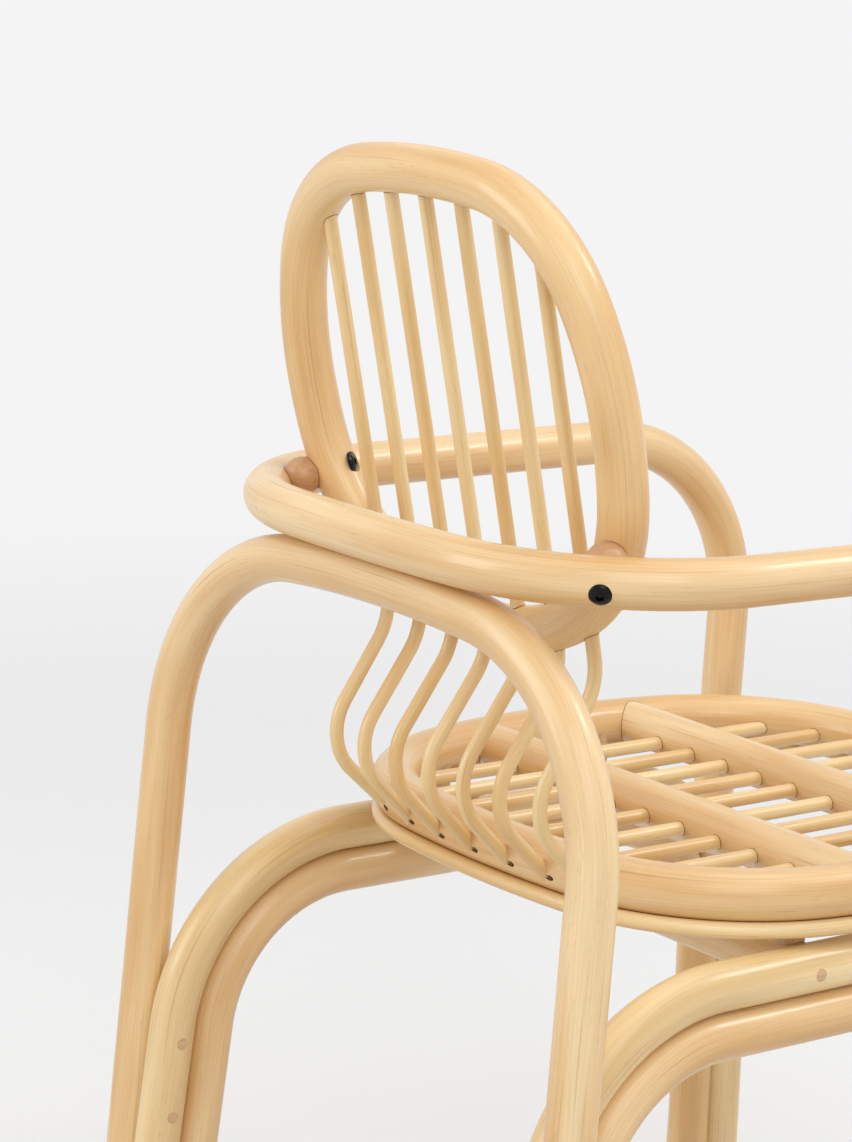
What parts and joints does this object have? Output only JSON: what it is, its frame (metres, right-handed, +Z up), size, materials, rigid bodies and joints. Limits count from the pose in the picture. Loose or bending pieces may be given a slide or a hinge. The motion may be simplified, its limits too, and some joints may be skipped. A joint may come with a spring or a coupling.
{
  "type": "rattan armchair",
  "caption": "Armchair of bent rattan poles: a round-cornered seat ring filled with canes, an oval spindle back, looped arms that run into the front legs, and nested side arches.",
  "frame": {"origin": "on the floor, in the middle of the footprint", "axes": "+Z up; the sitter faces -Y; +X is the sitter's left"},
  "size_m": [0.5246, 0.597, 0.8833],
  "materials": {
    "rattan_pole": "peeled rattan pole, satin lacquer",
    "rattan_hoop": "peeled rattan pole, golden, satin lacquer",
    "rattan_cane": "thin peeled rattan, satin lacquer",
    "turned_wood": "turned hardwood, lacquered",
    "plug_wood": "hardwood, lacquered",
    "black_steel": "black oxide steel, semi-gloss"
  },
  "bodies": {
    "root": {"arm_loop": "rattan_pole", "back_hoop": "rattan_hoop", "back_spindle_1": "rattan_cane", "back_spindle_2": "rattan_cane", "back_spindle_3": "rattan_cane", "back_spindle_4": "rattan_cane", "back_spindle_5": "rattan_cane", "back_spindle_6": "rattan_cane", "back_spindle_7": "rattan_cane", "cap_nut_left": "black_steel", "cap_nut_right": "black_steel", "connector_bolt_left": "black_steel", "connector_bolt_right": "black_steel", "hoop_spacer_left": "turned_wood", "hoop_spacer_right": "turned_wood", "inner_arch_left": "rattan_pole", "inner_arch_right": "rattan_pole", "outer_arch_left": "rattan_pole", "outer_arch_right": "rattan_pole", "plug_bearer_front_left": "plug_wood", "plug_bearer_front_right": "plug_wood", "plug_bearer_rear_left": "plug_wood", "plug_bearer_rear_right": "plug_wood", "plug_front_high_left": "plug_wood", "plug_front_high_right": "plug_wood", "plug_front_low_left": "plug_wood", "plug_front_low_right": "plug_wood", "plug_rear_high_left": "plug_wood", "plug_rear_high_right": "plug_wood", "plug_rear_low_left": "plug_wood", "plug_rear_low_right": "plug_wood", "rear_leg_frame": "rattan_pole", "seat_bearer_front": "rattan_pole", "seat_bearer_rear": "rattan_pole", "seat_block_front_left": "plug_wood", "seat_block_front_right": "plug_wood", "seat_block_rear_left": "plug_wood", "seat_block_rear_right": "plug_wood", "seat_cane_01": "rattan_cane", "seat_cane_02": "rattan_cane", "seat_cane_03": "rattan_cane", "seat_cane_04": "rattan_cane", "seat_cane_05": "rattan_cane", "seat_cane_06": "rattan_cane", "seat_cane_07": "rattan_cane", "seat_cane_08": "rattan_cane", "seat_cane_09": "rattan_cane", "seat_crossbar_front": "rattan_pole", "seat_crossbar_rear": "rattan_pole", "seat_rim": "rattan_cane", "seat_ring": "rattan_pole", "spindle_nail_1": "black_steel", "spindle_nail_2": "black_steel", "spindle_nail_3": "black_steel", "spindle_nail_4": "black_steel", "spindle_nail_5": "black_steel", "spindle_nail_6": "black_steel", "spindle_nail_7": "black_steel"}
  },
  "joints": []
}
